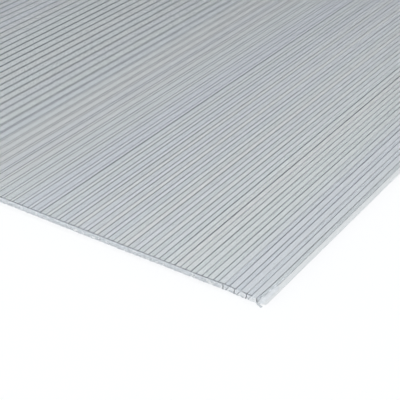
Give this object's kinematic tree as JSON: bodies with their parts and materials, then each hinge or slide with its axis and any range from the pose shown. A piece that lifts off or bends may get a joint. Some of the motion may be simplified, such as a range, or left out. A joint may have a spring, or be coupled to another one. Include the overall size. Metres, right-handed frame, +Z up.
{
  "type": "multiwall polycarbonate sheet",
  "caption": "Clear twinwall plastic glazing sheet: two thin skins joined by upright webs into long open-ended cells, sawn flush at its ends and through a cell at its sides.",
  "frame": {"origin": "centre of the sheet's underside, on the surface it lies on", "axes": "+Y along the cells and webs, which is the sheet's length; +X across the webs; +Z up, out of the top skin"},
  "size_m": [0.61, 1.22, 0.004],
  "materials": {
    "clear_polycarbonate": "gloss"
  },
  "bodies": {
    "root": {"multiwall_sheet": "clear_polycarbonate"}
  },
  "joints": []
}
